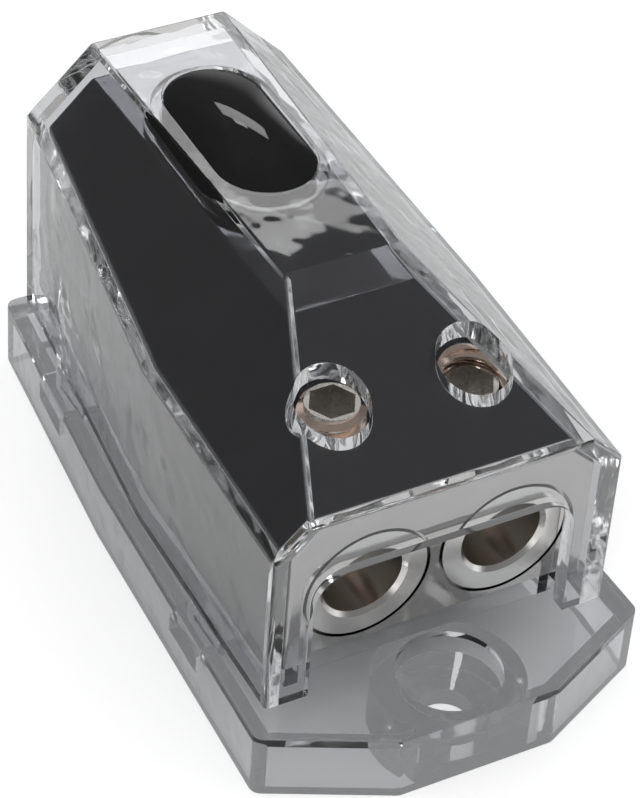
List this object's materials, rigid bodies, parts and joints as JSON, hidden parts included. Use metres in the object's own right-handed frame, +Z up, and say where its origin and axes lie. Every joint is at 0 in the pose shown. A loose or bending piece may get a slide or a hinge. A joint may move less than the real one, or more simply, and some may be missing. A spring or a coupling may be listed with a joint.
{
  "type": "power distribution block",
  "caption": "Plated metal terminal block between a clear screw-down base and a clear pull-off cover, with output wire ports at the wide end and a larger input port at the narrow end.",
  "frame": {"origin": "middle of the underside of the whole object, on the surface that the base stands on", "axes": "+Z up; Y along the length, with the output ports facing -Y and the input port facing +Y; X across the width"},
  "size_m": [0.0396, 0.078, 0.0376],
  "materials": {
    "clear_plastic": "clear moulded polycarbonate, polished, slightly grey",
    "plated_metal": "dark mirror plating with bright nickel port rings",
    "screw_steel": "plated steel",
    "badge_black": "gloss black",
    "clear_resin": "clear domed resin"
  },
  "bodies": {
    "body": {"base": "clear_plastic", "terminal_block": "plated_metal", "block_screw_front": "screw_steel", "block_screw_rear": "screw_steel"},
    "cover": {"cover": "clear_plastic", "badge_plate": "badge_black", "badge_dome": "clear_resin"},
    "left_screw": {"output_set_screw_left": "screw_steel"},
    "right_screw": {"output_set_screw_right": "screw_steel"},
    "input_screw": {"input_set_screw": "screw_steel"}
  },
  "joints": [
    {"name": "cover_lift", "type": "slide", "parent": "body", "child": "cover", "axis": [0, 0, 1], "range_m": [0, 0.034]},
    {"name": "left_screw_travel", "type": "slide", "parent": "body", "child": "left_screw", "axis": [0, 0, 1], "range_m": [-0.00762, 0.00127]},
    {"name": "right_screw_travel", "type": "slide", "parent": "body", "child": "right_screw", "axis": [0, 0, 1], "range_m": [-0.00381, 0.00254]},
    {"name": "input_screw_travel", "type": "slide", "parent": "body", "child": "input_screw", "axis": [0, 0, 1], "range_m": [-0.005, 0.00125]}
  ]
}
